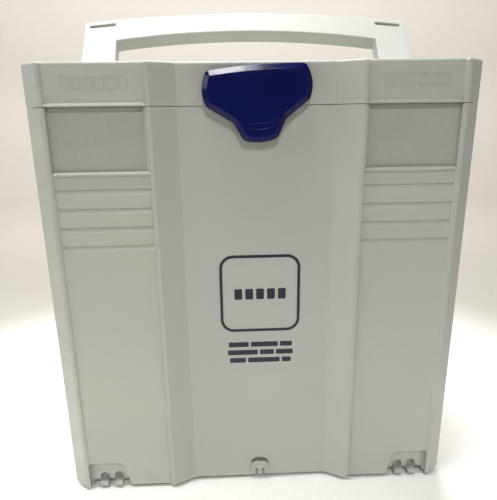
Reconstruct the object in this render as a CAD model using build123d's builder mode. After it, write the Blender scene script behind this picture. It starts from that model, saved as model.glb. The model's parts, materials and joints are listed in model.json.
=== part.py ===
from build123d import *

import os
from math import atan, cos, degrees, radians, sin

# Stackable transport case with an insulating foam liner: a tall moulded body, a hinged lid,
# a folding carry handle in the lid and a turning latch on the lid's front.
# Frame: +Z up, +X to the right of someone facing the front, the front looks towards -Y.
# Origin: centre of the base plate's underside, where the case rests. Millimetres.

# Whole case
WIDTH = 396.0
DEPTH = 296.0
HEIGHT = 420.0
SEAM = 384.5
SKIRT_GAP = 4.0
WALL = 3.0
SEAM_GAP = 0.5
FRONT = -DEPTH / 2
REAR = DEPTH / 2
SIDE = WIDTH / 2

# Plan section of the front and rear walls, as half widths from the middle and depths from FRONT
CHANNEL_HALF = 69.4
CHANNEL_DEEP = 10.2
RIDGE_INNER = 90.8
RIDGE_OUTER = 94.1
RIDGE_PROUD = 1.9
RIDGE_FLANK = 1.0
PANEL_INNER = RIDGE_OUTER + RIDGE_FLANK
PANEL_OUTER = 178.3
PANEL_DEEP = 2.0
PANEL_BEVEL = 2.2
CORNER_X = 14.6
CORNER_Y = 13.5

# Plan section of the side walls, as half depths from the middle
SIDE_CHANNEL_HALF = 46.0
SIDE_CHANNEL_DEEP = 7.0
SIDE_RIDGE_INNER = 60.0
SIDE_RIDGE_OUTER = 63.5
SIDE_PANEL_OUTER = DEPTH / 2 - CORNER_Y - PANEL_BEVEL

# Body
FLOOR = 7.0
BASE_INSET = 19.5
BASE_SKIN = 3.0
TONGUE_GAP = 0.3
TONGUE_THICK = 2.0
TONGUE_RISE = 5.0
TONGUE_ROOT = 6.0

# Label holders under the lid's edge
CARD_HALF_W = 42.2
CARD_X = 138.1
CARD_THICK = 0.7
CARD_BOTTOM = 329.6
CARD_MOUTH_HALF_W = 41.1
CARD_MOUTH_DEEP = 5.1
CARD_GROOVE = 0.9
LEDGE_Z = 326.8
LEDGE_TALL = 3.5
LEDGE_PROUD = 1.4

# Horizontal grooves under each label holder: a step inwards, then a slope back out
GROOVE_TOP = 315.6
GROOVE_PITCH = 16.9
GROOVE_COUNT = 4
GROOVE_TALL = 4.7
GROOVE_FLAT = 1.6
GROOVE_DEEP = 1.3

# Foot recesses at the bottom corners, with two hook lugs each
FOOT_OUTER = 180.0
FOOT_INNER_TOP = 145.0
FOOT_INNER_BOTTOM = 136.1
FOOT_TOP = 30.5
FOOT_DEEP = 7.0
FOOT_ROUND = 8.0
FOOT_RIM = 0.8
HOUSING_DEEP = 14.0
RECESS_SKIRT = 9.5
LUG_X = (150.5, 165.4)
LUG_WIDE = 7.8
LUG_TALL = 5.0
LUG_POCKET_DEEP = 5.0
LUG_POCKET_WIDE = 9.4
LUG_POCKET_TOP = 17.5

# Stacking catch at the bottom of the front channel
CATCH_HALF = 8.7
CATCH_Z = (6.2, 20.7)
CATCH_PROUD = 3.2
CATCH_SLOT_X = 3.5
CATCH_SLOT_WIDE = 3.1
CATCH_SLOT_TOP = 14.0
CATCH_POCKET_TOP = 26.5

# Lid hinge along the rear edge
HINGE_Y = REAR + 5.5
HINGE_R = 4.2
HINGE_PIN_R = 1.6
HINGE_X = 118.0
KNUCKLE = 12.0
KNUCKLE_GAP = 0.4

# Lid
LIP_TALL = 3.1
LIP_PROUD = 1.85
LIP_CORNER = 3.2
PLATE_THICK = 3.0
EDGE_ROUND = 2.6
RIM_WIDE = 18.0
FIELD_Z = HEIGHT - SKIRT_GAP
RECESS_FLOOR = 398.0
TUB_WALL = 2.5
RECESS_FRONT = -119.8
RECESS_BACK = -60.0
INNER_PANEL_Z = 391.0
INNER_PANEL_THICK = 2.0
SEAL_TALL = 1.9
BOSS_R = 4.5
SCREW_R = 1.5

# Carry handle, drawn in its own plane: s runs from the pivot towards the grip
HANDLE_LEAN = 39.3
PIVOT_Y = -20.1
PIVOT_Z = 407.0
HANDLE_HALF = 178.0
LEG_WIDE = 35.5
HANDLE_THICK = 16.0
GRIP_SHOULDER = 84.0
GRIP_ARCH = 13.2
GRIP_INNER = 58.3
GRIP_INNER_ARCH = 12.6
HANDLE_PIN_R = 4.0
BUSH_R = 6.0
LEG_GAP = 1.4
POCKET_PITCH = 36.0
POCKET_LONG = 31.0
POCKET_TALL = 17.0
STRAP_SLOT = (28.5, 4.4)
STRAP_SLOT_DEEP = 13.0
FOOT_POCKET_S = (17.0, 31.0)
FOOT_POCKET_WIDE = 9.5
FOOT_POCKET_DEEP = 2.5

# Latch, drawn about its turning axis; u runs across, v up
LATCH_Z = 400.0
LATCH_TILT = 3.9
LATCH_BACK = FRONT + 7.0
LATCH_THICK = 8.6
LATCH_BEVEL = 4.6
LATCH_SKIN = 2.3
LATCH_BOSS_R = 14.0
LATCH_BOSS_GAP = 0.8
LATCH_FACE_INSET = 2.4
LATCH_FACE_STEP = 0.13
LATCH_DISH_R = (46.8, 51.6)
LATCH_DISH_V = 16.0
AXLE_R = 4.0
AXLE_HEAD = 1.2
CLIP_Y = LATCH_BACK - 3.8
CLIP_R = 7.0
CLIP_BORE_R = 3.1
CLIP_THICK = 1.0
WASHER_R = 7.5
WASHER_GAP = 0.5
WASHER_THICK = 0.6

# Keeper on the body, and the carrier tongue that passes in front of it
KEEPER_HALF = 11.0
KEEPER_Z = (359.0, 371.0)
KEEPER_PROUD = 2.5
KEEPER_ARM = 3.0
CARRIER_R = 10.5
CARRIER_WIDE = 13.0
CARRIER_THICK = 3.2
TONGUE_V = -30.5
TONGUE_TALL = 5.0

# Foam liner and lid pad
LINER_HALF_X = 184.5
LINER_HALF_Y = 130.5
LINER_WALL = 25.0
LINER_TOP = 379.0
PAD_HALF_X = 181.0
PAD_HALF_Y = 129.0
PAD_PLUG_GAP = 2.5
PAD_PLUG_DEEP = 14.0


def finish(piece, label):
    """Labels a finished piece and writes it as its own file."""
    piece.part.label = label
    export_step(piece.part, f"parts/{label}.step")


def case_points():
    """Corner points of the wall's plan section, once round, starting at the front channel."""
    quarter = [
        (CHANNEL_HALF, FRONT + CHANNEL_DEEP),
        (RIDGE_INNER, FRONT - RIDGE_PROUD),
        (RIDGE_OUTER, FRONT - RIDGE_PROUD),
        (PANEL_INNER, FRONT + PANEL_DEEP),
        (PANEL_OUTER, FRONT + PANEL_DEEP),
        (PANEL_OUTER + PANEL_BEVEL, FRONT),
        (SIDE - CORNER_X, FRONT),
        (SIDE, FRONT + CORNER_Y),
        (SIDE - PANEL_DEEP, -SIDE_PANEL_OUTER),
        (SIDE - PANEL_DEEP, -SIDE_RIDGE_OUTER - RIDGE_FLANK),
        (SIDE, -SIDE_RIDGE_OUTER),
        (SIDE, -SIDE_RIDGE_INNER),
        (SIDE - SIDE_CHANNEL_DEEP, -SIDE_CHANNEL_HALF),
    ]
    right = quarter + [(x, -y) for x, y in reversed(quarter)]
    return right + [(-x, y) for x, y in reversed(right)]


def case_plan(inset=0.0, inner=None):
    """The wall's plan section, moved inwards; with inner, only the ring between both."""
    with BuildSketch() as plan:
        with BuildLine():
            Polyline(*case_points(), close=True)
        make_face()
        if inset:
            offset(amount=-inset, kind=Kind.INTERSECTION, mode=Mode.REPLACE)
        if inner:
            add(case_plan(inner), mode=Mode.SUBTRACT)
    return plan.sketch


def corner_cut_rectangle(inset=0.0):
    """The case's outer rectangle with its corners cut off, moved inwards by inset."""
    x, y = SIDE - inset, REAR - inset
    quarter = [(x - CORNER_X, -y), (x, CORNER_Y - y)]
    right = quarter + [(a, -b) for a, b in reversed(quarter)]
    with BuildSketch() as plan:
        with BuildLine():
            Polyline(*(right + [(-a, b) for a, b in reversed(right)]), close=True)
        make_face()
    return plan.sketch


def block(x_range, y_range, z_range, mode=Mode.ADD):
    """Adds a plain block between three pairs of limits."""
    centre = [(low + high) / 2 for low, high in (x_range, y_range, z_range)]
    size = [high - low for low, high in (x_range, y_range, z_range)]
    with Locations(tuple(centre)):
        return Box(*size, mode=mode)


def mirrored(x_range, sign):
    """The same pair of limits on the right (sign 1) or the left (sign -1) of the middle."""
    return tuple(sorted((sign * x_range[0], sign * x_range[1])))


def front_plane(y, z=0.0):
    """A sketch plane facing the front at depth y, with u along +X and v along +Z."""
    return Plane(origin=(0, y, z), x_dir=(1, 0, 0), z_dir=(0, -1, 0))


def side_plane(x):
    """A sketch plane facing +X, with u along +Y and v along +Z."""
    return Plane(origin=(x, 0, 0), x_dir=(0, 1, 0), z_dir=(1, 0, 0))


def facing(side):
    """Depth function for one face of the case: side -1 is the front, 1 the rear."""
    return lambda depth: side * (REAR - depth)


def label_ledge(sign):
    """Adds the bevelled ledge under a label holder."""
    x_range = mirrored((PANEL_INNER - 0.2, PANEL_OUTER + 0.2), sign)
    panel = FRONT + PANEL_DEEP
    with BuildSketch(side_plane(x_range[0])) as bar:
        with BuildLine():
            Polyline(
                (panel + 1.0, LEDGE_Z),
                (panel - LEDGE_PROUD, LEDGE_Z + 0.4),
                (panel - LEDGE_PROUD, LEDGE_Z + LEDGE_TALL - LEDGE_PROUD),
                (panel, LEDGE_Z + LEDGE_TALL),
                (panel + 1.0, LEDGE_Z + LEDGE_TALL),
                close=True,
            )
        make_face()
    extrude(bar.sketch, amount=x_range[1] - x_range[0])


def panel_grooves(sign):
    """Cuts the row of horizontal grooves under a label holder."""
    x_range = mirrored((PANEL_INNER, PANEL_OUTER), sign)
    panel = FRONT + PANEL_DEEP
    for number in range(GROOVE_COUNT):
        top = GROOVE_TOP - number * GROOVE_PITCH
        with BuildSketch(side_plane(x_range[0])) as groove:
            with BuildLine():
                Polyline(
                    (panel - 1.0, top),
                    (panel + GROOVE_DEEP, top),
                    (panel + GROOVE_DEEP, top - GROOVE_FLAT),
                    (panel, top - GROOVE_TALL),
                    (panel - 1.0, top - GROOVE_TALL),
                    close=True,
                )
            make_face()
        extrude(groove.sketch, amount=x_range[1] - x_range[0], mode=Mode.SUBTRACT)


def label_holder(sign):
    """Cuts one label holder: an open mouth with a groove behind its frame for the card."""
    x_range = mirrored((CARD_X - CARD_MOUTH_HALF_W, CARD_X + CARD_MOUTH_HALF_W), sign)
    groove = mirrored((CARD_X - CARD_HALF_W - 0.3, CARD_X + CARD_HALF_W + 0.3), sign)
    back = FRONT + CARD_MOUTH_DEEP
    mouth_bottom = LEDGE_Z + LEDGE_TALL
    block(x_range, (FRONT - 1, back + 0.01), (mouth_bottom, SEAM), mode=Mode.SUBTRACT)
    block(groove, (back, back + CARD_GROOVE), (CARD_BOTTOM - 0.2, SEAM), mode=Mode.SUBTRACT)


def foot_outline(sign, grow=0.0):
    """The outline of one foot recess, grown on its top and inner sides."""
    top = FOOT_TOP + grow
    with BuildSketch() as recess:
        with BuildLine():
            Polyline(
                (sign * FOOT_OUTER, 0),
                (sign * FOOT_OUTER, top),
                (sign * (FOOT_INNER_TOP - grow), top),
                (sign * (FOOT_INNER_BOTTOM - grow), 0),
                close=True,
            )
        make_face()
        fillet(recess.vertices().sort_by_distance((0, HEIGHT))[0], FOOT_ROUND)
    return recess.sketch


def foot_recess(sign, side):
    """Cuts one foot recess and its hook pockets, and adds the two hook lugs."""
    depth = facing(side)
    low, high = sorted((depth(-1.0), depth(FOOT_DEEP)))
    with BuildSketch(front_plane(high)) as recess:
        add(foot_outline(sign))
    extrude(recess.sketch, amount=high - low, mode=Mode.SUBTRACT)
    rim = []
    for rim_depth, grow in ((PANEL_DEEP - 0.3, FOOT_RIM + 0.3), (PANEL_DEEP + FOOT_RIM, 0)):
        with BuildSketch(front_plane(depth(rim_depth))) as section:
            add(foot_outline(sign, grow))
        rim.append(section.sketch)
    loft(rim, ruled=True, mode=Mode.SUBTRACT)
    pocket = sorted((depth(FOOT_DEEP - 0.5), depth(FOOT_DEEP + LUG_POCKET_DEEP)))
    lug = sorted((depth(1.4), depth(FOOT_DEEP + LUG_POCKET_DEEP + 0.5)))
    skirt_x = mirrored((FOOT_INNER_BOTTOM + 2, FOOT_OUTER - 2), sign)
    block(skirt_x, pocket, (SKIRT_GAP - 1, RECESS_SKIRT), mode=Mode.SUBTRACT)
    for x in LUG_X:
        round_z = LUG_POCKET_TOP - LUG_POCKET_WIDE / 2
        with BuildSketch(front_plane(pocket[1])) as arch:
            with Locations((sign * x, round_z)):
                Circle(LUG_POCKET_WIDE / 2)
            with Locations((sign * x, round_z / 2)):
                Rectangle(LUG_POCKET_WIDE, round_z)
        extrude(arch.sketch, amount=pocket[1] - pocket[0], mode=Mode.SUBTRACT)
        x_range = (sign * x - LUG_WIDE / 2, sign * x + LUG_WIDE / 2)
        block(x_range, lug, (SKIRT_GAP, SKIRT_GAP + LUG_TALL))


def stack_catch():
    """Adds the three-pronged stacking catch and cuts the arched pocket above it."""
    panel = FRONT + CHANNEL_DEEP
    arch_r = CATCH_HALF + 0.8
    with BuildSketch(front_plane(panel + 4.6)) as arch:
        with Locations((0, CATCH_POCKET_TOP - arch_r)):
            Circle(arch_r)
        with Locations((0, 10)):
            Rectangle(2 * arch_r, 16, mode=Mode.SUBTRACT)
    extrude(arch.sketch, amount=5, mode=Mode.SUBTRACT)
    with BuildSketch(front_plane(panel + 1.0)) as prongs:
        with Locations((0, sum(CATCH_Z) / 2)):
            Rectangle(2 * CATCH_HALF, CATCH_Z[1] - CATCH_Z[0])
        fillet(prongs.vertices().group_by(Axis.Y)[-1], 3.0)
    extrude(prongs.sketch, amount=1.0 + CATCH_PROUD)
    for x in (-CATCH_SLOT_X, CATCH_SLOT_X):
        x_range = (x - CATCH_SLOT_WIDE / 2, x + CATCH_SLOT_WIDE / 2)
        y_range = (panel - CATCH_PROUD - 1, panel + 1.5)
        block(x_range, y_range, (SKIRT_GAP - 1, CATCH_SLOT_TOP), mode=Mode.SUBTRACT)


def knuckle_spans(sign, middle):
    """X limits of one hinge's knuckles: the lid's middle one or the body's two outer ones."""
    centre = sign * HINGE_X
    half = KNUCKLE / 2
    if middle:
        return [(centre - half + KNUCKLE_GAP, centre + half - KNUCKLE_GAP)]
    return [(centre - half - KNUCKLE, centre - half), (centre + half, centre + half + KNUCKLE)]


def knuckles(middle):
    """Adds one leaf's hinge knuckles and the tapered webs that join them to the rear wall."""
    away = 1 if middle else -1
    root = REAR - PANEL_DEEP - 1.5
    web = [(root, SEAM), (root, SEAM + 12 * away), (REAR, SEAM + 12 * away), (HINGE_Y, SEAM)]
    for sign in (-1, 1):
        for low, high in knuckle_spans(sign, middle):
            with BuildSketch(side_plane(low)) as leaf:
                with BuildLine():
                    Polyline(*web, close=True)
                make_face()
                with Locations((HINGE_Y, SEAM)):
                    Circle(HINGE_R)
            extrude(leaf.sketch, amount=high - low)
            with BuildSketch(side_plane(low - 1)) as bore:
                with Locations((HINGE_Y, SEAM)):
                    Circle(HINGE_PIN_R + 0.05)
            extrude(bore.sketch, amount=high - low + 2, mode=Mode.SUBTRACT)


os.makedirs("parts", exist_ok=True)

# ---------------------------------------------------------------- body

with BuildPart() as body_shell:
    with BuildSketch(Plane.XY.offset(SKIRT_GAP)):
        add(case_plan())
    extrude(amount=SEAM - SEAM_GAP - SKIRT_GAP)
    with BuildSketch(Plane.XY):
        add(corner_cut_rectangle(BASE_INSET))
    extrude(amount=SKIRT_GAP + 0.5)
    with BuildSketch(Plane.XY.offset(FLOOR)):
        add(case_plan(WALL))
    extrude(amount=SEAM - FLOOR, mode=Mode.SUBTRACT)
    with BuildSketch(Plane.XY.offset(BASE_SKIN)):
        add(corner_cut_rectangle(BASE_INSET + WALL))
    extrude(amount=FLOOR - BASE_SKIN, mode=Mode.SUBTRACT)
    with BuildSketch(Plane.XY.offset(SEAM - TONGUE_ROOT)):
        add(case_plan(WALL - 0.1, inner=WALL + TONGUE_GAP + TONGUE_THICK))
    extrude(amount=TONGUE_ROOT - SEAM_GAP)
    with BuildSketch(Plane.XY.offset(SEAM - 1)):
        add(case_plan(WALL + TONGUE_GAP, inner=WALL + TONGUE_GAP + TONGUE_THICK))
    extrude(amount=TONGUE_RISE + 1)
    for sign in (-1, 1):
        housing_x = mirrored((PANEL_INNER - 3, PANEL_OUTER + 5), sign)
        block(housing_x, (FRONT + 4.5, FRONT + 9.5), (LEDGE_Z - 5, SEAM - SEAM_GAP))
        label_ledge(sign)
        panel_grooves(sign)
        label_holder(sign)
        for side in (-1, 1):
            depth = facing(side)
            foot_x = mirrored((FOOT_INNER_BOTTOM - 5, FOOT_OUTER + 4), sign)
            foot_y = sorted((depth(PANEL_DEEP + 0.5), depth(HOUSING_DEEP)))
            block(foot_x, foot_y, (SKIRT_GAP, FOOT_TOP + 4))
            foot_recess(sign, side)
    catch_y = (FRONT + CHANNEL_DEEP + 1, FRONT + CHANNEL_DEEP + 6.4)
    block((-16, 16), catch_y, (SKIRT_GAP, CATCH_POCKET_TOP + 4))
    stack_catch()
    knuckles(middle=False)
finish(body_shell, "body_shell")

with BuildPart() as body_liner:
    block((-LINER_HALF_X, LINER_HALF_X), (-LINER_HALF_Y, LINER_HALF_Y), (FLOOR + 0.2, LINER_TOP))
    fillet(body_liner.edges().filter_by(Axis.Z), 12)
    inner_x = LINER_HALF_X - LINER_WALL
    inner_y = LINER_HALF_Y - LINER_WALL
    with BuildSketch(Plane.XY.offset(LINER_TOP)):
        RectangleRounded(2 * inner_x, 2 * inner_y, 10)
    extrude(amount=-(LINER_TOP - FLOOR - LINER_WALL), mode=Mode.SUBTRACT)
finish(body_liner, "body_liner")

for sign, label in ((-1, "label_card_left"), (1, "label_card_right")):
    card_back = FRONT + CARD_MOUTH_DEEP + CARD_GROOVE - 0.1
    with BuildPart() as label_card:
        card_x = mirrored((CARD_X - CARD_HALF_W, CARD_X + CARD_HALF_W), sign)
        block(card_x, (card_back - CARD_THICK, card_back), (CARD_BOTTOM, SEAM - SEAM_GAP - 0.3))
    finish(label_card, label)

with BuildPart() as latch_keeper:
    keeper_y = (FRONT + CHANNEL_DEEP - KEEPER_PROUD, FRONT + CHANNEL_DEEP)
    block((-KEEPER_HALF, KEEPER_HALF), keeper_y, (KEEPER_Z[1] - 4, KEEPER_Z[1]))
    for sign in (-1, 1):
        arm_x = mirrored((KEEPER_HALF - KEEPER_ARM, KEEPER_HALF), sign)
        block(arm_x, keeper_y, KEEPER_Z)
    fillet(latch_keeper.edges().filter_by(Axis.Y).group_by(Axis.Z)[-1], 1.5)
finish(latch_keeper, "latch_keeper")

for sign, label in ((-1, "hinge_pin_left"), (1, "hinge_pin_right")):
    with BuildPart() as hinge_pin:
        half_length = 1.5 * KNUCKLE + 0.8
        with Locations((sign * HINGE_X, HINGE_Y, SEAM)):
            Cylinder(HINGE_PIN_R, 2 * half_length, rotation=(0, 90, 0))
        chamfer(hinge_pin.edges().filter_by(GeomType.CIRCLE), 0.3)
    finish(hinge_pin, label)

# ---------------------------------------------------------------- lid


def recess_plan(grow=0.0):
    """Adds the plan of the handle's recess: a grip bay and two leg channels behind it."""
    outer = HANDLE_HALF + LEG_GAP + grow
    inner = HANDLE_HALF - LEG_WIDE - LEG_GAP - grow
    bay_front = RECESS_FRONT - grow
    bay_back = RECESS_BACK + grow
    channel_back = PIVOT_Y + HANDLE_THICK / 2 + 1.0 + grow
    with Locations((0, (bay_front + bay_back) / 2)):
        Rectangle(2 * outer, bay_back - bay_front)
    for sign in (-1, 1):
        with Locations((sign * (outer + inner) / 2, (bay_front + channel_back) / 2)):
            Rectangle(outer - inner, channel_back - bay_front)


def leg_sweep(sign, grow=0.0, mode=Mode.SUBTRACT):
    """The slanted part of a leg channel, where the raised leg leans against its stop."""
    inner = HANDLE_HALF - LEG_WIDE - LEG_GAP - grow
    outer = HANDLE_HALF + LEG_GAP + grow
    half = HANDLE_THICK / 2 + 0.3 + grow
    low = mirrored((inner, outer), sign)[0]
    with BuildSketch(side_plane(low)) as sweep:
        with Locations(Location((PIVOT_Y, PIVOT_Z), 90 - HANDLE_LEAN)):
            Rectangle(40, 2 * half, align=(Align.MIN, Align.CENTER))
            Circle(half + 0.5)
        if mode is Mode.ADD:
            with Locations((PIVOT_Y, FIELD_Z - 1.5)):
                Rectangle(200, 60, align=(Align.CENTER, Align.MIN), mode=Mode.SUBTRACT)
    extrude(sweep.sketch, amount=outer - inner, mode=mode)


def field_lip(sign):
    """Adds the bevelled lip along the bottom of one lid field, with rounded inner corners."""
    panel = FRONT + PANEL_DEEP
    lip_x = mirrored((PANEL_INNER - 0.5, PANEL_OUTER + 1.5), sign)
    with BuildSketch(side_plane(lip_x[0])) as lip:
        with BuildLine():
            Polyline(
                (panel - LIP_PROUD, SEAM),
                (panel - LIP_PROUD, SEAM + LIP_TALL - LIP_PROUD),
                (panel, SEAM + LIP_TALL),
                (panel + 0.5, SEAM + LIP_TALL),
                (panel + 0.5, SEAM),
                close=True,
            )
        make_face()
    extrude(lip.sketch, amount=lip_x[1] - lip_x[0])
    bottom = SEAM + LIP_TALL - 1
    for x, inwards in ((PANEL_INNER, 1), (PANEL_OUTER, -1)):
        with BuildSketch(front_plane(panel + 0.5)) as corner:
            with Locations((sign * (x + inwards * LIP_CORNER / 2), bottom + LIP_CORNER / 2)):
                Rectangle(LIP_CORNER, LIP_CORNER)
            with Locations((sign * (x + inwards * LIP_CORNER), bottom + LIP_CORNER)):
                Circle(LIP_CORNER, mode=Mode.SUBTRACT)
        extrude(corner.sketch, amount=LIP_PROUD)


with BuildPart() as lid_shell:
    with BuildSketch(Plane.XY.offset(SEAM)):
        add(case_plan())
    extrude(amount=HEIGHT - SEAM)
    fillet(lid_shell.faces().sort_by(Axis.Z)[-1].outer_wire().edges(), EDGE_ROUND)
    for sign in (-1, 1):
        field_lip(sign)
    with BuildSketch(Plane.XY.offset(SEAM)):
        add(case_plan(WALL))
    extrude(amount=FIELD_Z - PLATE_THICK - SEAM, mode=Mode.SUBTRACT)
    with BuildSketch(Plane.XY.offset(SEAM + TONGUE_RISE + 0.3 + SEAL_TALL)):
        add(case_plan(WALL - 0.1, inner=WALL + 2.9))
    extrude(amount=2.3)
    with BuildSketch(Plane.XY.offset(RECESS_FLOOR - TUB_WALL)):
        recess_plan(TUB_WALL)
    extrude(amount=FIELD_Z - 1 - (RECESS_FLOOR - TUB_WALL))
    for sign in (-1, 1):
        leg_sweep(sign, grow=TUB_WALL, mode=Mode.ADD)
    boss_spots = [(x, y) for x in (-110, 0, 110) for y in (-35, 112)]
    boss_bottom = INNER_PANEL_Z + INNER_PANEL_THICK
    with BuildSketch(Plane.XY.offset(boss_bottom)):
        with Locations(*boss_spots):
            Circle(BOSS_R)
    extrude(amount=FIELD_Z - 1 - boss_bottom)
    with BuildSketch(Plane.XY.offset(FIELD_Z)):
        add(corner_cut_rectangle(RIM_WIDE))
    extrude(amount=SKIRT_GAP + 1, mode=Mode.SUBTRACT)
    with BuildSketch(Plane.XY.offset(RECESS_FLOOR)):
        recess_plan()
    extrude(amount=HEIGHT - RECESS_FLOOR, mode=Mode.SUBTRACT)
    for sign in (-1, 1):
        leg_sweep(sign)
    with BuildSketch(Plane.XY.offset(boss_bottom)):
        with Locations(*boss_spots):
            Circle(SCREW_R + 0.02)
    extrude(amount=12, mode=Mode.SUBTRACT)
    boss_y = FRONT + CHANNEL_DEEP
    with BuildSketch(front_plane(boss_y + 0.5, LATCH_Z)):
        Circle(LATCH_BOSS_R)
    extrude(amount=boss_y + 0.5 - LATCH_BACK - LATCH_BOSS_GAP)
    with BuildSketch(front_plane(boss_y + WALL + 2, LATCH_Z)):
        Circle(AXLE_R + 0.02)
    extrude(amount=boss_y + WALL + 3 - FRONT, mode=Mode.SUBTRACT)
    for sign in (-1, 1):
        pin_x = mirrored((HANDLE_HALF - LEG_WIDE - LEG_GAP - TUB_WALL - 1,
                          HANDLE_HALF + LEG_GAP + TUB_WALL + 1), sign)
        with BuildSketch(side_plane(pin_x[0])):
            with Locations((PIVOT_Y, PIVOT_Z)):
                Circle(HANDLE_PIN_R + 0.02)
        extrude(amount=pin_x[1] - pin_x[0], mode=Mode.SUBTRACT)
    knuckles(middle=True)
finish(lid_shell, "lid_shell")

with BuildPart() as lid_inner_panel:
    with BuildSketch(Plane.XY.offset(INNER_PANEL_Z)):
        add(case_plan(WALL + 3.2))
        with Locations(*boss_spots):
            Circle(SCREW_R + 0.3, mode=Mode.SUBTRACT)
    extrude(amount=INNER_PANEL_THICK)
finish(lid_inner_panel, "lid_inner_panel")

with BuildPart() as lid_panel_screws:
    with BuildSketch(Plane.XY.offset(INNER_PANEL_Z - 0.1)):
        with Locations(*boss_spots):
            Circle(SCREW_R)
    extrude(amount=11)
    with BuildSketch(Plane.XY.offset(INNER_PANEL_Z - 2.0)):
        with Locations(*boss_spots):
            Circle(3.2)
    extrude(amount=2.0)
    with BuildSketch(Plane.XY.offset(INNER_PANEL_Z - 2.0)):
        with Locations(*boss_spots):
            RegularPolygon(1.4, 6)
    extrude(amount=1.2, mode=Mode.SUBTRACT)
finish(lid_panel_screws, "lid_panel_screws")

with BuildPart() as lid_seal:
    with BuildSketch(Plane.XY.offset(SEAM + TONGUE_RISE + 0.3)):
        add(case_plan(WALL + TONGUE_GAP, inner=WALL + TONGUE_GAP + TONGUE_THICK))
    extrude(amount=SEAL_TALL)
finish(lid_seal, "lid_seal")

with BuildPart() as lid_foam_pad:
    pad_top = INNER_PANEL_Z - 0.2
    plug_x = LINER_HALF_X - LINER_WALL - PAD_PLUG_GAP
    plug_y = LINER_HALF_Y - LINER_WALL - PAD_PLUG_GAP
    flange_bottom = LINER_TOP + 1.0
    block((-PAD_HALF_X, PAD_HALF_X), (-PAD_HALF_Y, PAD_HALF_Y), (flange_bottom, pad_top))
    block((-plug_x, plug_x), (-plug_y, plug_y), (flange_bottom - PAD_PLUG_DEEP, flange_bottom))
    fillet(lid_foam_pad.edges().filter_by(Axis.Z), 9)
    with BuildSketch(Plane.XY.offset(pad_top)):
        with Locations(*boss_spots):
            Circle(4.2)
    extrude(amount=-3.0, mode=Mode.SUBTRACT)
finish(lid_foam_pad, "lid_foam_pad")

for sign, label in ((-1, "handle_pin_left"), (1, "handle_pin_right")):
    pin_inner = HANDLE_HALF - LEG_WIDE - LEG_GAP - TUB_WALL
    pin_outer = HANDLE_HALF + LEG_GAP + TUB_WALL
    pin_x = mirrored((pin_inner - 0.8, pin_outer + 0.8), sign)
    with BuildPart() as handle_pin:
        with BuildSketch(side_plane(pin_x[0])):
            with Locations((PIVOT_Y, PIVOT_Z)):
                Circle(HANDLE_PIN_R)
        extrude(amount=pin_x[1] - pin_x[0])
        chamfer(handle_pin.edges().filter_by(GeomType.CIRCLE), 0.5)
    finish(handle_pin, label)

# ---------------------------------------------------------------- carry handle

lean = radians(HANDLE_LEAN)
handle_plane = Plane(
    origin=(0, PIVOT_Y, PIVOT_Z), x_dir=(1, 0, 0), z_dir=(0, -cos(lean), sin(lean))
)
leg_inner = HANDLE_HALF - LEG_WIDE

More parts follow.
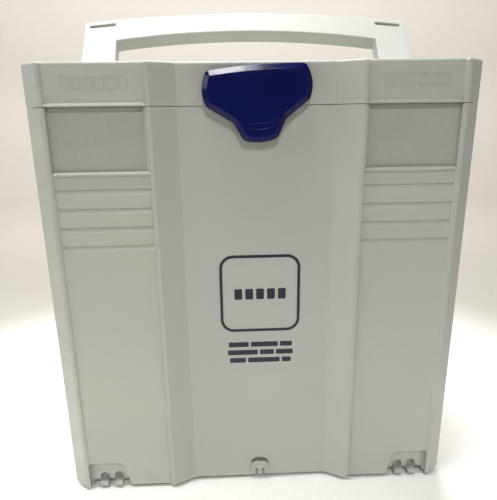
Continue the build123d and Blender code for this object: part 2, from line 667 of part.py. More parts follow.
with BuildPart() as carry_handle:
    with BuildSketch(handle_plane) as outline:
        with BuildLine():
            ThreePointArc(
                (-HANDLE_HALF, GRIP_SHOULDER),
                (0, GRIP_SHOULDER + GRIP_ARCH),
                (HANDLE_HALF, GRIP_SHOULDER),
            )
            Polyline((HANDLE_HALF, GRIP_SHOULDER), (HANDLE_HALF, 0), (leg_inner, 0),
                     (leg_inner, GRIP_INNER))
            ThreePointArc(
                (leg_inner, GRIP_INNER),
                (0, GRIP_INNER + GRIP_INNER_ARCH),
                (-leg_inner, GRIP_INNER),
            )
            Polyline((-leg_inner, GRIP_INNER), (-leg_inner, 0), (-HANDLE_HALF, 0),
                     (-HANDLE_HALF, GRIP_SHOULDER))
        make_face()
        fillet(outline.vertices().filter_by_position(Axis.Y, 1, 200), 2.0)
    extrude(amount=HANDLE_THICK / 2, both=True)
    for sign in (-1, 1):
        low = mirrored((leg_inner, HANDLE_HALF), sign)[0]
        with BuildSketch(side_plane(low)):
            with Locations((PIVOT_Y, PIVOT_Z)):
                Circle(HANDLE_THICK / 2)
        extrude(amount=LEG_WIDE)
        with BuildSketch(side_plane(low - 1)):
            with Locations((PIVOT_Y, PIVOT_Z)):
                Circle(BUSH_R)
        extrude(amount=LEG_WIDE + 2, mode=Mode.SUBTRACT)
    outwards = Axis(handle_plane.origin, handle_plane.z_dir)
    front_face = carry_handle.faces().filter_by(handle_plane).sort_by(outwards)[-1]
    fillet(front_face.outer_wire().edges().filter_by_position(Axis.Z, PIVOT_Z + 9, HEIGHT * 2), 1.1)
    with BuildSketch(handle_plane.offset(HANDLE_THICK / 2 - STRAP_SLOT_DEEP)):
        with Locations(
            Location((HANDLE_HALF - 19.8, GRIP_SHOULDER - 4.6), -7.2),
            Location((19.8 - HANDLE_HALF, GRIP_SHOULDER - 4.6), 7.2),
        ):
            SlotOverall(*STRAP_SLOT)
    extrude(amount=STRAP_SLOT_DEEP + 1, mode=Mode.SUBTRACT)
    for sign in (-1, 1):
        pocket_x = mirrored((leg_inner - 1, leg_inner + FOOT_POCKET_DEEP), sign)
        with BuildSketch(side_plane(pocket_x[0])):
            with Locations(Location((PIVOT_Y, PIVOT_Z), 90 - HANDLE_LEAN)):
                with Locations((sum(FOOT_POCKET_S) / 2, 0)):
                    Rectangle(FOOT_POCKET_S[1] - FOOT_POCKET_S[0], FOOT_POCKET_WIDE)
        extrude(amount=pocket_x[1] - pocket_x[0], mode=Mode.SUBTRACT)
    back_plane = handle_plane.offset(-HANDLE_THICK / 2)
    with BuildSketch(back_plane):
        for sign in (-1, 1):
            with Locations((sign * (leg_inner + LEG_WIDE / 2), 36)):
                RectangleRounded(LEG_WIDE - 8, 36, 3)
        grip_middle = (GRIP_SHOULDER + GRIP_ARCH + GRIP_INNER + GRIP_INNER_ARCH) / 2
        bend = (GRIP_ARCH + GRIP_INNER_ARCH) / 2 / leg_inner**2
        for number in range(-3, 4):
            spot = number * POCKET_PITCH
            slope = -degrees(atan(2 * bend * spot))
            with Locations(Location((spot, grip_middle - bend * spot**2), slope)):
                RectangleRounded(POCKET_LONG, POCKET_TALL, 3)
    extrude(amount=9, mode=Mode.SUBTRACT)
finish(carry_handle, "carry_handle")

for sign, label in ((-1, "handle_bush_left"), (1, "handle_bush_right")):
    low = mirrored((leg_inner, HANDLE_HALF), sign)[0]
    with BuildPart() as handle_bush:
        with BuildSketch(side_plane(low)):
            with Locations((PIVOT_Y, PIVOT_Z)):
                Circle(BUSH_R - 0.02)
                Circle(HANDLE_PIN_R + 0.06, mode=Mode.SUBTRACT)
        extrude(amount=LEG_WIDE)
    finish(handle_bush, label)

# ---------------------------------------------------------------- latch

tilt_angle = radians(LATCH_TILT)


def latch_plane(y):
    """A sketch plane about the latch's axis, turned with the lever."""
    across = (cos(tilt_angle), 0, sin(tilt_angle))
    return Plane(origin=(0, y, LATCH_Z), x_dir=across, z_dir=(0, -1, 0))


def lever_outline(inset=0.0):
    """The lever's outline: a wide bowed head that narrows to a stem."""
    with BuildSketch() as outline:
        with BuildLine():
            ThreePointArc((-42.0, 14.6), (0, 16.4), (42.0, 14.6))
            ThreePointArc((42.0, 14.6), (46.8, 3.1), (44.3, -14.3))
            Polyline((44.3, -14.3), (23.0, -28.6), (14.9, -44.0))
            ThreePointArc((14.9, -44.0), (0, -46.5), (-14.9, -44.0))
            Polyline((-14.9, -44.0), (-23.0, -28.6), (-44.3, -14.3))
            ThreePointArc((-44.3, -14.3), (-46.8, 3.1), (-42.0, 14.6))
        make_face()
        for low, high, radius in ((10, 20, 5.0), (-15, -14, 5.5), (-29, -28, 9), (-44.5, -43.5, 5.5)):
            fillet(outline.vertices().filter_by_position(Axis.Y, low, high), radius)
        if inset:
            offset(amount=-inset, kind=Kind.INTERSECTION, mode=Mode.REPLACE)
    return outline.sketch


with BuildPart() as latch_lever:
    with BuildSketch(latch_plane(LATCH_BACK)):
        add(lever_outline())
    extrude(amount=LATCH_THICK)
    face_edges = latch_lever.faces().sort_by(Axis.Y)[0].edges()
    chamfer(face_edges, LATCH_BEVEL * 0.8, LATCH_BEVEL)
    with BuildSketch(latch_plane(LATCH_BACK)):
        add(lever_outline(LATCH_SKIN + 2.2))
    extrude(amount=LATCH_THICK - LATCH_SKIN, mode=Mode.SUBTRACT)
    for number, radius in enumerate(LATCH_DISH_R):
        step_depth = LATCH_FACE_STEP * (len(LATCH_DISH_R) - number)
        with BuildSketch(latch_plane(LATCH_BACK - LATCH_THICK + step_depth)):
            add(lever_outline(LATCH_BEVEL + LATCH_FACE_INSET - number))
            with Locations((0, LATCH_DISH_V)):
                Circle(radius, mode=Mode.INTERSECT)
        extrude(amount=1, mode=Mode.SUBTRACT)
finish(latch_lever, "latch_lever")

with BuildPart() as latch_carrier:
    with BuildSketch(latch_plane(LATCH_BACK - 0.4)):
        Circle(CARRIER_R)
        with Locations((0, TONGUE_V - TONGUE_TALL / 2)):
            Rectangle(CARRIER_WIDE, -TONGUE_V, align=(Align.CENTER, Align.MIN))
    extrude(amount=CARRIER_THICK)
    with BuildSketch(latch_plane(LATCH_BACK - 0.1)):
        with Locations((0, TONGUE_V)):
            RectangleRounded(CARRIER_WIDE, TONGUE_TALL, 1.5)
    extrude(amount=CARRIER_THICK - 0.2)
    with BuildSketch(latch_plane(LATCH_BACK)):
        Circle(AXLE_R + 0.05)
    extrude(amount=LATCH_THICK, mode=Mode.SUBTRACT)
finish(latch_carrier, "latch_carrier")

with BuildPart() as latch_clip:
    with BuildSketch(latch_plane(CLIP_Y)):
        Circle(CLIP_R)
        Circle(CLIP_BORE_R, mode=Mode.SUBTRACT)
    extrude(amount=CLIP_THICK)
    with BuildSketch(latch_plane(CLIP_Y + 0.1)):
        with Locations((0, CLIP_R - 2)):
            Rectangle(CLIP_BORE_R, CLIP_R + 1)
    extrude(amount=CLIP_THICK + 0.5, mode=Mode.SUBTRACT)
finish(latch_clip, "latch_clip")

with BuildPart() as latch_axle:
    axle_back = FRONT + CHANNEL_DEEP + WALL
    axle_front = CLIP_Y - 1.8
    with BuildSketch(front_plane(axle_back, LATCH_Z)):
        Circle(AXLE_R)
    extrude(amount=axle_back - axle_front)
    with BuildSketch(front_plane(axle_back + AXLE_HEAD, LATCH_Z)):
        Circle(AXLE_R + 1.7)
    extrude(amount=AXLE_HEAD)
    with BuildSketch(front_plane(CLIP_Y + 0.1, LATCH_Z)):
        Circle(AXLE_R + 1)
        Circle(CLIP_BORE_R - 0.1, mode=Mode.SUBTRACT)
    extrude(amount=CLIP_THICK + 0.2, mode=Mode.SUBTRACT)
finish(latch_axle, "latch_axle")

with BuildPart() as latch_spring_washer:
    with BuildSketch(front_plane(LATCH_BACK + WASHER_GAP, LATCH_Z)):
        Circle(WASHER_R)
        Circle(AXLE_R + 0.15, mode=Mode.SUBTRACT)
    extrude(amount=WASHER_THICK)
finish(latch_spring_washer, "latch_spring_washer")
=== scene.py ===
"""Looks of the stackable sample transport box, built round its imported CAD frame. Metres, +Z up, front at -Y."""

import json
import math

import bmesh
import bpy
from mathutils import Matrix, Vector


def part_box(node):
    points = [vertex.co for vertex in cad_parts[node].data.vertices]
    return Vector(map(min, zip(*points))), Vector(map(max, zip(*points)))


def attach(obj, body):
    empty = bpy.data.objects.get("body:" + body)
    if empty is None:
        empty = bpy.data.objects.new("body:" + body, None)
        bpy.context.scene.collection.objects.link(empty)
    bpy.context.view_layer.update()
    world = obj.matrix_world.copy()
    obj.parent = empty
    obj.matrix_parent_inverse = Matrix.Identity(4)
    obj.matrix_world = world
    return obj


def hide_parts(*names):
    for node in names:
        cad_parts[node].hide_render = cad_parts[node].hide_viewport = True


MM = 0.001

# Camera, in the row frame
CAMERA_AT = (-0.0310, -0.6154, 0.3700)
CAMERA_YAW = 2.59
CAMERA_PITCH = 17.87
CAMERA_ROLL = -0.80
LENS_MM = 37.35
SHIFT_UP = 0.080

# Printed mark on the front channel: a plain frame, a row of tiles in it and three rows of bars under it
PRINT_X = 1.8 * MM
PRINT_Z = 211.6 * MM
PRINT_PROUD = 0.08 * MM
PRINT_ROOT = 0.10 * MM
MARK_HALF = 39.0 * MM
MARK_ROUND = 13.0 * MM
MARK_STROKE = 2.9 * MM
MARK_TILES = 5
MARK_TILE = 7.6 * MM
MARK_TILE_GAP = 3.0 * MM
MARK_TILE_HALF_Z = 5.4 * MM
MARK_TILE_ROUND = 1.2 * MM
BAR_ROWS_MM = ((20.0, 27.0, 12.0), (30.0, 14.0, 17.0), (16.0, 32.0, 9.0))
BAR_FIRST_DROP = 14.0 * MM
BAR_PITCH = 8.6 * MM
BAR_GAP = 2.2 * MM
BAR_HALF_Z = 2.6 * MM
BAR_ROUND = 0.9 * MM

# Rows of plain raised tiles on the lid's two front fields
EMBOSS_X = 137.0 * MM
EMBOSS_Z = 403.8 * MM
EMBOSS_PROUD = 0.35 * MM
EMBOSS_ROOT = 0.20 * MM
EMBOSS_TILES = 6
EMBOSS_PITCH = 9.6 * MM
EMBOSS_HALF_X = 3.8 * MM
EMBOSS_HALF_Z = 5.2 * MM
EMBOSS_ROUND = 1.6 * MM
EMBOSS_STROKE = 1.1 * MM

# Foam liner and the lid's foam pad
LINER_WALL = 25.0 * MM
LINER_RIM = 5.0 * MM
LINER_DRAFT = 1.5 * MM
LINER_CORNER = 12 * MM
LINER_FLOOR_ROUND = 6 * MM
PAD_FLANGE = 14.0 * MM
PAD_STEP_IN = 24.0 * MM
FOAM_SMOOTH = math.radians(50)

# Edges sharper than this stay sharp on the pieces made here
SHARP_ANGLE = math.radians(28)

# Floor and backdrop: paint near the object and further away, painted shade far in front, and the radii of the
# change
FLOOR_NEAR = (0.92, 0.915, 0.89)
FLOOR_FAR = (0.49, 0.467, 0.434)
# Painted shade far in front, standing in for a dim room that the glossy latch reflects
FLOOR_PAINTED_SHADE = (0.34, 0.33, 0.315)
FLOOR_NEAR_RADIUS = 0.36
FLOOR_FAR_RADIUS = 0.66
FLOOR_FLAT_RADIUS = 2.2
FLOOR_CURVE = 0.7
BACKDROP_TOP = 2.6
BOWL_SIDES = 96

# Studio light
WORLD_TINT = (0.98, 1.0, 0.99, 1.0)
WORLD_STRENGTH = 0.06


# ---------------------------------------------------------------- shader helpers


class Shader:
    """One material's node tree, with short calls that add a node and link it."""

    def __init__(self, name):
        self.material = bpy.data.materials.new(name)
        self.material.use_nodes = True
        self.nodes = self.material.node_tree.nodes
        self.links = self.material.node_tree.links
        self.bsdf = self.nodes["Principled BSDF"]
        self.place = self.add("ShaderNodeTexCoord").outputs["Object"]

    def add(self, kind, **settings):
        node = self.nodes.new(kind)
        for key, value in settings.items():
            setattr(node, key, value)
        return node

    def link(self, value, socket):
        """Links an output to a socket, or sets the socket to a plain value."""
        if isinstance(value, bpy.types.NodeSocket):
            self.links.new(value, socket)
        else:
            socket.default_value = value

    def math(self, operation, a, b=0.0, clamp=False):
        node = self.add("ShaderNodeMath", operation=operation, use_clamp=clamp)
        self.link(a, node.inputs[0])
        self.link(b, node.inputs[1])
        return node.outputs[0]

    def mix(self, factor, a, b):
        """Mixes two colours."""
        node = self.add("ShaderNodeMix", data_type="RGBA")
        self.link(factor, node.inputs["Factor"])
        self.link(colour(a), node.inputs[6])
        self.link(colour(b), node.inputs[7])
        return node.outputs[2]

    def ramp(self, value, low, high, to_low=0.0, to_high=1.0):
        """Maps value smoothly from low..high to to_low..to_high, clamped at both ends."""
        node = self.add("ShaderNodeMapRange", interpolation_type="SMOOTHSTEP", clamp=True)
        for socket, number in zip(node.inputs, (value, low, high, to_low, to_high)):
            self.link(number, socket)
        return node.outputs[0]

    def scaled(self, factors):
        """The object coordinates, stretched along each axis."""
        node = self.add("ShaderNodeMapping")
        self.link(self.place, node.inputs["Vector"])
        node.inputs["Scale"].default_value = factors
        return node.outputs[0]

    def noise(self, scale, detail=3.0, rough=0.55, where=None, distortion=0.0):
        node = self.add("ShaderNodeTexNoise")
        self.link(where or self.place, node.inputs["Vector"])
        node.inputs["Scale"].default_value = scale
        node.inputs["Detail"].default_value = detail
        node.inputs["Roughness"].default_value = rough
        node.inputs["Distortion"].default_value = distortion
        return node.outputs["Fac"]

    def cells(self, scale, feature="F1", output="Distance"):
        node = self.add("ShaderNodeTexVoronoi", feature=feature)
        self.link(self.place, node.inputs["Vector"])
        node.inputs["Scale"].default_value = scale
        return node.outputs[output]

    def bump(self, height, depth):
        """Adds a bump of that real depth to the surface normal."""
        node = self.add("ShaderNodeBump")
        node.inputs["Strength"].default_value = 1.0
        node.inputs["Distance"].default_value = depth
        self.link(height, node.inputs["Height"])
        if self.bsdf.inputs["Normal"].is_linked:
            self.links.new(self.bsdf.inputs["Normal"].links[0].from_socket, node.inputs["Normal"])
        self.links.new(node.outputs[0], self.bsdf.inputs["Normal"])

    def rounded(self, radius):
        """Shades sharp edges as if they were rounded by that radius; comes before any bump."""
        bevel = self.add("ShaderNodeBevel", samples=4)
        bevel.inputs["Radius"].default_value = radius
        self.links.new(bevel.outputs[0], self.bsdf.inputs["Normal"])

    def edge(self, radius):
        """0 on flat areas and up to 1 along convex or concave edges."""
        bevel = self.add("ShaderNodeBevel", samples=6)
        bevel.inputs["Radius"].default_value = radius
        geometry = self.add("ShaderNodeNewGeometry")
        dot = self.add("ShaderNodeVectorMath", operation="DOT_PRODUCT")
        self.links.new(bevel.outputs[0], dot.inputs[0])
        self.links.new(geometry.outputs["Normal"], dot.inputs[1])
        return self.ramp(dot.outputs["Value"], 0.99, 0.80)

    def set(self, **values):
        """Sets or links the surface's own sockets, such as Base_Color or Roughness."""
        for key, value in values.items():
            name = key.replace("_", " ")
            self.link(colour(value) if "Color" in name or "Tint" in name else value, self.bsdf.inputs[name])
        return self.material


def colour(value):
    """A linear RGB triple as RGBA; anything else is passed on."""
    return (*value, 1.0) if isinstance(value, tuple) and len(value) == 3 else value


# ---------------------------------------------------------------- materials


def moulded_plastic(name, tone, warm, grain=0.05, dirt=0.5, roughness=0.46):
    """Spark-eroded moulded plastic: fine grain, cloudy tone, dull worn edges, faint rubs and grime."""
    s = Shader(name)
    s.rounded(0.18 * MM)
    cloud = s.noise(7.0, detail=5.0, rough=0.6)
    base = s.mix(s.ramp(cloud, 0.3, 0.7), tone, warm)
    speck = s.noise(1400.0, detail=2.0)
    base = s.mix(s.ramp(speck, 0.35, 0.75, 0.0, 0.10), base, tuple(0.72 * c for c in tone))
    edge = s.edge(0.9 * MM)
    patch = s.ramp(s.noise(38.0, detail=6.0, rough=0.7), 0.47, 0.62)
    base = s.mix(s.math("MULTIPLY", edge, s.math("MULTIPLY", patch, 0.30 * dirt)), base, (0.20, 0.19, 0.17))
    streaks = s.scaled((1.0, 1.0, 0.16))
    rub = s.ramp(s.noise(120.0, detail=8.0, rough=0.75, where=streaks), 0.66, 0.74)
    rub = s.math("MULTIPLY", rub, s.ramp(s.noise(11.0, detail=2.0), 0.50, 0.64))
    base = s.mix(s.math("MULTIPLY", rub, 0.42 * dirt), base, (0.17, 0.16, 0.15))
    flecks = s.cells(95.0)
    fleck = s.math("MULTIPLY", s.ramp(flecks, 0.085, 0.05), s.ramp(s.noise(31.0), 0.56, 0.62))
    base = s.mix(s.math("MULTIPLY", fleck, 0.55 * dirt), base, (0.10, 0.09, 0.08))
    rough = s.ramp(s.noise(45.0, detail=6.0, rough=0.65), 0.3, 0.7, roughness - 0.05, roughness + 0.07)
    rough = s.math("SUBTRACT", rough, s.math("MULTIPLY", edge, 0.12), clamp=True)
    s.bump(s.noise(1900.0, detail=3.0, rough=0.6), grain * MM)
    s.bump(s.noise(60.0, detail=2.0), 0.06 * MM)
    return s.set(Base_Color=base, Roughness=rough, IOR=1.47)


def latch_plastic():
    """Glossy deep blue plastic with fine hairline scratches, and painted light along its edges: a brighter blue.
    """
    s = Shader("latch_plastic")
    s.rounded(0.5 * MM)
    cloud = s.noise(30.0, detail=4.0)
    base = s.mix(s.ramp(cloud, 0.3, 0.7), (0.0012, 0.0026, 0.058), (0.0016, 0.0032, 0.068))
    edge = s.edge(0.6 * MM)
    # Painted light: the edges are painted a brighter blue, standing in for the light the bevels catch
    base = s.mix(s.math("MULTIPLY", edge, 0.5), base, (0.003, 0.005, 0.26))
    hair = s.noise(260.0, detail=8.0, rough=0.8, where=s.scaled((0.12, 1.0, 1.0)), distortion=0.3)
    scratch = s.ramp(hair, 0.62, 0.70)
    rough = s.ramp(s.noise(70.0, detail=6.0, rough=0.7), 0.3, 0.75, 0.16, 0.24)
    rough = s.math("ADD", rough, s.math("MULTIPLY", scratch, 0.15), clamp=True)
    s.bump(hair, 0.01 * MM)
    s.bump(s.noise(900.0, detail=2.0), 0.006 * MM)
    return s.set(Base_Color=base, Roughness=rough, IOR=1.46, Specular_IOR_Level=0.20)


def metal(name, tint):
    """Zinc-plated steel: fine turned lines, cloudy roughness and a few dull spots."""
    s = Shader(name)
    cloud = s.noise(60.0, detail=6.0, rough=0.7)
    base = s.mix(s.ramp(cloud, 0.3, 0.7), tint, tuple(0.78 * c for c in tint))
    spots = s.ramp(s.cells(240.0), 0.16, 0.06)
    base = s.mix(s.math("MULTIPLY", spots, 0.4), base, (0.30, 0.27, 0.22))
    rough = s.ramp(cloud, 0.3, 0.7, 0.24, 0.42)
    s.bump(s.noise(700.0, detail=3.0, where=s.scaled((6.0, 1.0, 1.0))), 0.012 * MM)
    return s.set(Base_Color=base, Roughness=rough, Metallic=1.0)


def card_stock():
    """Plain grey card: soft fibres, slight cloudiness and a rubbed, matt face."""
    s = Shader("card_stock")
    fibre = s.noise(600.0, detail=5.0, rough=0.7, where=s.scaled((1.0, 1.0, 0.3)))
    cloud = s.noise(24.0, detail=4.0)
    base = s.mix(s.ramp(fibre, 0.3, 0.7), (0.330, 0.337, 0.307), (0.360, 0.363, 0.333))
    base = s.mix(s.ramp(cloud, 0.4, 0.7, 0.0, 0.25), base, (0.305, 0.306, 0.280))
    s.bump(fibre, 0.02 * MM)
    return s.set(Base_Color=base, Roughness=s.ramp(cloud, 0.3, 0.7, 0.62, 0.74))


def printed_ink():
    """Screen-printed navy ink: near black, with pinholes and thin spots."""
    s = Shader("printed_ink")
    thin = s.ramp(s.noise(420.0, detail=5.0, rough=0.7), 0.60, 0.74)
    base = s.mix(s.math("MULTIPLY", thin, 0.35), (0.008, 0.009, 0.024), (0.09, 0.09, 0.12))
    s.bump(s.noise(1500.0), 0.01 * MM)
    return s.set(Base_Color=base, Roughness=s.ramp(thin, 0.0, 1.0, 0.42, 0.55))


def bead_foam():
    """Expanded bead foam: pale-edged rounded beads a few millimetres across, matt dark grey."""
    s = Shader("bead_foam")
    beads = s.cells(290.0)
    tone = s.cells(290.0, output="Color")
    grey = s.add("ShaderNodeSeparateColor")
    s.links.new(tone, grey.inputs[0])
    base = s.mix(grey.outputs[0], (0.030, 0.030, 0.033), (0.055, 0.055, 0.060))
    seam = s.ramp(s.cells(290.0, feature="DISTANCE_TO_EDGE"), 0.0, 0.10, 1.0, 0.0)
    base = s.mix(s.math("MULTIPLY", seam, 0.6), base, (0.013, 0.013, 0.014))
    s.bump(s.ramp(beads, 0.0, 0.8, 1.0, 0.0), 0.35 * MM)
    s.bump(s.noise(2400.0, detail=2.0), 0.03 * MM)
    return s.set(Base_Color=base, Roughness=s.ramp(grey.outputs[0], 0.0, 1.0, 0.68, 0.86))


def foam_rubber():
    """Black cellular rubber with small open pores."""
    s = Shader("foam_rubber")
    pores = s.ramp(s.cells(1500.0), 0.1, 0.5)
    base = s.mix(pores, (0.006, 0.006, 0.006), (0.022, 0.022, 0.023))
    s.bump(pores, 0.10 * MM)
    return s.set(Base_Color=base, Roughness=s.ramp(pores, 0.0, 1.0, 0.90, 0.72))


def floor_paint():
    """A pale ground, whitest round the object, with painted shade far in front of it."""
    s = Shader("studio_paint")
    flat = s.scaled((1.0, 1.0, 0.0))
    length = s.add("ShaderNodeVectorMath", operation="LENGTH")
    s.links.new(flat, length.inputs[0])
    away = s.ramp(length.outputs["Value"], FLOOR_NEAR_RADIUS, FLOOR_FAR_RADIUS)
    base = s.mix(away, FLOOR_NEAR, FLOOR_FAR)
    spread = s.add("ShaderNodeSeparateXYZ")
    s.links.new(s.place, spread.inputs[0])
    # Painted shade: the ground darkens far in front of the object
    ahead = s.ramp(spread.outputs["Y"], -0.45, -1.30)
    base = s.mix(ahead, base, FLOOR_PAINTED_SHADE)
    speckle = s.noise(260.0, detail=4.0)
    base = s.mix(s.ramp(speckle, 0.4, 0.8, 0.0, 0.06), base, (0.35, 0.33, 0.31))
    return s.set(Base_Color=base, Roughness=s.ramp(speckle, 0.3, 0.7, 0.55, 0.7))


# ---------------------------------------------------------------- mesh helpers


def new_piece(name, bm, material, body):
    """Turns a bmesh into a piece with its material, material slot and body."""
    bmesh.ops.recalc_face_normals(bm, faces=bm.faces)
    mesh = bpy.data.meshes.new(name)
    bm.to_mesh(mesh)
    bm.free()
    piece = bpy.data.objects.new(name, mesh)
    bpy.context.scene.collection.objects.link(piece)
    mesh.materials.append(material)
    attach(piece, body)
    return piece


def rounded_rectangle(half_x, half_y, radius, steps=8):
    """Points of a rounded rectangle about the origin, once round."""
    points = []
    for quarter in range(4):
        sx, sy = ((1, 1), (-1, 1), (-1, -1), (1, -1))[quarter]
        centre = Vector((sx * (half_x - radius), sy * (half_y - radius)))
        for step in range(steps + 1):
            angle = (quarter + step / steps) * math.pi / 2
            points.append(centre + radius * Vector((math.cos(angle), math.sin(angle))))
    return points


def loft(bm, rings, closed=False, cap_first=False, cap_last=False):
    """Joins rings of equal point counts with quads, and caps the ends if asked."""
    made = [[bm.verts.new(p) for p in ring] for ring in rings]
    pairs = list(zip(made, made[1:]))
    if closed:
        pairs.append((made[-1], made[0]))
    for a, b in pairs:
        for i in range(len(a)):
            j = (i + 1) % len(a)
            bm.faces.new((a[i], a[j], b[j], b[i]))
    if cap_first:
        bm.faces.new(list(reversed(made[0])))
    if cap_last:
        bm.faces.new(made[-1])


def front_depth(node, x, z):
    """Depth (y) of a CAD node's front surface at x, z."""
    hit, where, _, _ = frame["nodes"][node].ray_cast(Vector((x, -1.0, z)), Vector((0, 1, 0)))
    if not hit:
        raise ValueError(f"{node} has no front surface at {x}, {z}")
    return where.y


def smooth(piece, angle):
    """Shades a piece smooth except across edges sharper than angle."""
    for polygon in piece.data.polygons:
        polygon.use_smooth = True
    piece.data.set_sharp_from_angle(angle=angle)


def raised_tile(bm, x, z, half_x, half_z, radius, back, front, inner=None):
    """A rounded tile facing the front; with inner, a frame of that stroke width."""

    def ring(shrink, y):
        points = rounded_rectangle(half_x - shrink, half_z - shrink, max(radius - shrink, 0.1 * MM))
        return [Vector((x + p.x, y, z + p.y)) for p in points]

    if inner:
        loft(bm, [ring(0, back), ring(0, front), ring(inner, front), ring(inner, back)], closed=True)
    else:
        loft(bm, [ring(0, back), ring(0, front)], cap_first=True, cap_last=True)


# ---------------------------------------------------------------- pieces


def printed_mark(material):
    """The plain printed mark on the front channel: a frame with tiles in it, and three rows of bars."""
    panel = front_depth("body_shell", PRINT_X, PRINT_Z)
    back, front = panel + PRINT_ROOT, panel - PRINT_PROUD
    bm = bmesh.new()
    raised_tile(bm, PRINT_X, PRINT_Z, MARK_HALF, MARK_HALF, MARK_ROUND, back, front, inner=MARK_STROKE)
    for i in range(MARK_TILES):
        x = PRINT_X + (i - (MARK_TILES - 1) / 2) * (MARK_TILE + MARK_TILE_GAP)
        raised_tile(bm, x, PRINT_Z, MARK_TILE / 2, MARK_TILE_HALF_Z, MARK_TILE_ROUND, back, front)
    for number, widths in enumerate(BAR_ROWS_MM):
        z = PRINT_Z - MARK_HALF - BAR_FIRST_DROP - BAR_PITCH * number
        x = PRINT_X - (sum(widths) * MM + BAR_GAP * (len(widths) - 1)) / 2
        for width in widths:
            raised_tile(bm, x + width * MM / 2, z, width * MM / 2, BAR_HALF_Z, BAR_ROUND, back, front)
            x += width * MM + BAR_GAP
    new_piece("front_print", bm, material, "case_body")


def emboss(side, material):
    """A row of plain raised tiles on one of the lid's front fields."""
    name = "lid_emboss_left" if side < 0 else "lid_emboss_right"
    panel = front_depth("lid_shell", side * EMBOSS_X, EMBOSS_Z)
    back, front = panel + EMBOSS_ROOT, panel - EMBOSS_PROUD
    bm = bmesh.new()
    for i in range(EMBOSS_TILES):
        x = side * EMBOSS_X + (i - (EMBOSS_TILES - 1) / 2) * EMBOSS_PITCH
        raised_tile(bm, x, EMBOSS_Z, EMBOSS_HALF_X, EMBOSS_HALF_Z, EMBOSS_ROUND, back, front,
                    inner=EMBOSS_STROKE)
    smooth(new_piece(name, bm, material, "lid"), SHARP_ANGLE)


def ring_maker(low, high):
    """A function that gives a level rounded rectangle of points, set in from the sides of that box."""
    half_x, half_y = (high.x - low.x) / 2, (high.y - low.y) / 2
    middle = (low + high) / 2

    def ring(inset, z, radius):
        points = rounded_rectangle(half_x - inset, half_y - inset, radius, steps=6)
        return [Vector((middle.x + p.x, middle.y + p.y, z)) for p in points]

    return ring


def foam_liner(material):
    """The moulded foam liner: straight outside, rounded rim, cavity with a little draft."""
    low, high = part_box("body_liner")
    ring = ring_maker(low, high)
    cavity_floor = low.z + LINER_WALL
    bm = bmesh.new()
    rings = [ring(3 * MM, low.z, 9 * MM), ring(0, low.z + 3 * MM, LINER_CORNER)]
    steps = 5
    for i in range(steps + 1):
        turn = i / steps * math.pi / 2
        inset = LINER_RIM * (1 - math.cos(turn))
        rings.append(ring(inset, high.z - LINER_RIM * (1 - math.sin(turn)), LINER_CORNER))
    for i in range(steps + 1):
        turn = (1 - i / steps) * math.pi / 2
        inset = LINER_WALL - LINER_RIM * (1 - math.cos(turn))
        rings.append(ring(inset, high.z - LINER_RIM * (1 - math.sin(turn)), LINER_CORNER))
    cavity_foot = LINER_WALL + LINER_DRAFT
    rings.append(ring(cavity_foot, cavity_floor + LINER_FLOOR_ROUND, LINER_CORNER))
    rings.append(ring(cavity_foot + LINER_FLOOR_ROUND, cavity_floor, 8 * MM))
    loft(bm, rings, cap_first=True, cap_last=True)
    piece = new_piece("foam_liner", bm, material, "case_body")
    smooth(piece, FOAM_SMOOTH)
    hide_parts("body_liner")


def foam_pad(material):
    """The lid's foam pad: a flange with rounded edges and a tapered plug for the liner's mouth."""
    low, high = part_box("lid_foam_pad")
    ring = ring_maker(low, high)
    flange_bottom = low.z + PAD_FLANGE
    bm = bmesh.new()
    profile = (
        (0, high.z),
        (0, flange_bottom + 1.5 * MM),
        (1.5 * MM, flange_bottom),
        (PAD_STEP_IN, flange_bottom),
        (PAD_STEP_IN + 1.0 * MM, flange_bottom - 1.5 * MM),
        (PAD_STEP_IN + 2.0 * MM, low.z + 4 * MM),
        (PAD_STEP_IN + 3.2 * MM, low.z + 1.2 * MM),
        (PAD_STEP_IN + 6.0 * MM, low.z),
    )
    loft(bm, [ring(inset, z, 9 * MM) for inset, z in profile], cap_first=True, cap_last=True)
    piece = new_piece("foam_lid_pad", bm, material, "lid")
    smooth(piece, FOAM_SMOOTH)
    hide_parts("lid_foam_pad")


def dress_cad_nodes(finishes):
    """Gives each shown CAD node its finish."""
    for name, node in frame["nodes"].items():
        if node.hide_render:
            continue
        node.data.materials.clear()
        node.data.materials.append(finishes[name])


# ---------------------------------------------------------------- stage, light and camera


def stage_bowl():
    """A pale floor that curves up into a round backdrop, the same from every side."""
    profile = [(0.0001, 0.0), (0.4, 0.0), (1.0, 0.0), (FLOOR_FLAT_RADIUS, 0.0)]
    for i in range(1, 9):
        turn = i / 8 * math.pi / 2
        reach, rise = math.sin(turn), 1 - math.cos(turn)
        profile.append((FLOOR_FLAT_RADIUS + FLOOR_CURVE * reach, FLOOR_CURVE * rise))
    profile.append((FLOOR_FLAT_RADIUS + FLOOR_CURVE, BACKDROP_TOP))
    bm = bmesh.new()
    angles = [2 * math.pi * i / BOWL_SIDES for i in range(BOWL_SIDES)]
    loft(bm, [[Vector((r * math.cos(a), r * math.sin(a), z)) for a in angles] for r, z in profile])
    mesh = bpy.data.meshes.new("studio_floor")
    bm.to_mesh(mesh)
    bm.free()
    floor = bpy.data.objects.new("studio_floor", mesh)
    bpy.context.scene.collection.objects.link(floor)
    mesh.materials.append(floor_paint())
    for polygon in mesh.polygons:
        polygon.use_smooth = True


def area_light(name, at, aim, size, power, tint, spread=180):
    """A rectangular light at one point, aimed at another, and not seen by the camera."""
    data = bpy.data.lights.new(name, "AREA")
    data.shape = "RECTANGLE"
    data.size, data.size_y = size
    data.energy = power
    data.spread = math.radians(spread)
    data.color = tint
    light = bpy.data.objects.new(name, data)
    bpy.context.scene.collection.objects.link(light)
    light.location = at
    light.rotation_euler = (Vector(aim) - Vector(at)).to_track_quat("-Z", "Y").to_euler()
    light.visible_camera = False
    return light


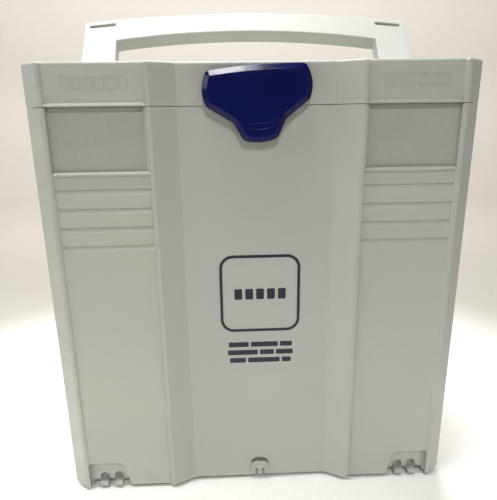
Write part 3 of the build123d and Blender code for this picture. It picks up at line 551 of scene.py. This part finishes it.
def studio_light():
    """Soft lights round the object: key and second in front, ceiling, fills, backdrop and latch highlight."""
    area_light("key", (0.05, -1.95, 2.05), (0, -0.1, 0.25), (0.22, 0.16), 22.5, (1.0, 1.0, 0.97))
    area_light("second", (0.75, -1.7, 1.9), (0, -0.1, 0.25), (0.30, 0.30), 2.2, (1.0, 0.99, 0.97))
    area_light("ceiling", (0.0, 0.9, 2.45), (0, 0.1, 0.3), (1.2, 0.8), 72.0, (1.0, 0.99, 0.97))
    area_light("left_fill", (-2.3, -0.40, 1.1), (0, 0, 0.25), (1.0, 1.0), 13.5, (1.0, 1.0, 0.98))
    area_light("backdrop", (0.0, 0.9, 2.2), (0.0, 2.9, 1.0), (2.0, 0.5), 37.0, (1.0, 0.97, 0.94), spread=130)
    area_light("pool", (-0.48, -0.41, 2.35), (-0.48, -0.45, 0.0), (0.9, 0.18), 3.7, (1.0, 1.0, 0.98), spread=50)
    for side in (-1, 1):
        low = area_light("low_fill", (side * 0.36, -0.52, 0.05), (side * 0.12, -0.15, 0.10), (0.30, 0.08), 0.28,
                         (1.0, 1.0, 0.97))
        low.visible_glossy = False
    world = bpy.data.worlds.new("studio_world")
    bpy.context.scene.world = world
    world.use_nodes = True
    background = world.node_tree.nodes["Background"]
    background.inputs["Color"].default_value = WORLD_TINT
    background.inputs["Strength"].default_value = WORLD_STRENGTH


def camera():
    """The camera, from its place, yaw to the right, pitch down and roll."""
    data = bpy.data.cameras.new("camera")
    data.sensor_width = 36.0
    data.sensor_fit = "AUTO"
    data.lens = LENS_MM
    data.shift_y = SHIFT_UP
    yaw, pitch, roll = (math.radians(a) for a in (CAMERA_YAW, CAMERA_PITCH, CAMERA_ROLL))
    ahead = Vector((math.sin(yaw) * math.cos(pitch), math.cos(yaw) * math.cos(pitch), -math.sin(pitch)))
    right = Vector((math.cos(yaw), -math.sin(yaw), 0))
    up = right.cross(ahead)
    right, up = (
        math.cos(roll) * right + math.sin(roll) * up,
        math.cos(roll) * up - math.sin(roll) * right,
    )
    view = bpy.data.objects.new("camera", data)
    bpy.context.scene.collection.objects.link(view)
    view.matrix_world = Matrix.Translation(CAMERA_AT) @ Matrix((right, up, -ahead)).transposed().to_4x4()
    bpy.context.scene.camera = view


# ---------------------------------------------------------------- build

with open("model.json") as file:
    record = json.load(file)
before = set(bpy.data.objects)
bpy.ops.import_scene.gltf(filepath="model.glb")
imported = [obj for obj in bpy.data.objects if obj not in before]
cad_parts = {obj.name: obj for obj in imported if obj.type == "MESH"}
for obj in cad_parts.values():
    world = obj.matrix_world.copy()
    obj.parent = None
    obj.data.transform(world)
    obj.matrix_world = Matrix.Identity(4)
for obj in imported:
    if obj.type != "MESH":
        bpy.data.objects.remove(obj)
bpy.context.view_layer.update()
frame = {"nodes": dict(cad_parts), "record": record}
camera()
bpy.context.scene.view_settings.view_transform = "Standard"

case = moulded_plastic("case_plastic", (0.385, 0.396, 0.366), (0.408, 0.412, 0.380))
# The handle is the case's grey plastic, toned lighter as painted light for the strong light on its tilted top
handle = moulded_plastic("handle_plastic", (0.65, 0.665, 0.63), (0.69, 0.70, 0.66), dirt=0.25, roughness=0.40)
bush = moulded_plastic("bush_plastic", (0.26, 0.26, 0.25), (0.30, 0.30, 0.29), dirt=0.2, roughness=0.38)
steel = metal("zinc_steel", (0.62, 0.61, 0.58))
foam = bead_foam()
by_slot = {
    "case_plastic": case, "handle_plastic": handle, "latch_plastic": latch_plastic(), "bush_plastic": bush,
    "card": card_stock(), "liner_foam": foam, "seal_rubber": foam_rubber(), "steel": steel,
}
slots = {part["node"]: part["material_slot"] for part in frame["record"]["subparts"]}

foam_liner(foam)
foam_pad(foam)
printed_mark(printed_ink())
for side in (-1, 1):
    emboss(side, case)
dress_cad_nodes({name: by_slot[slot] for name, slot in slots.items()})

stage_bowl()
studio_light()
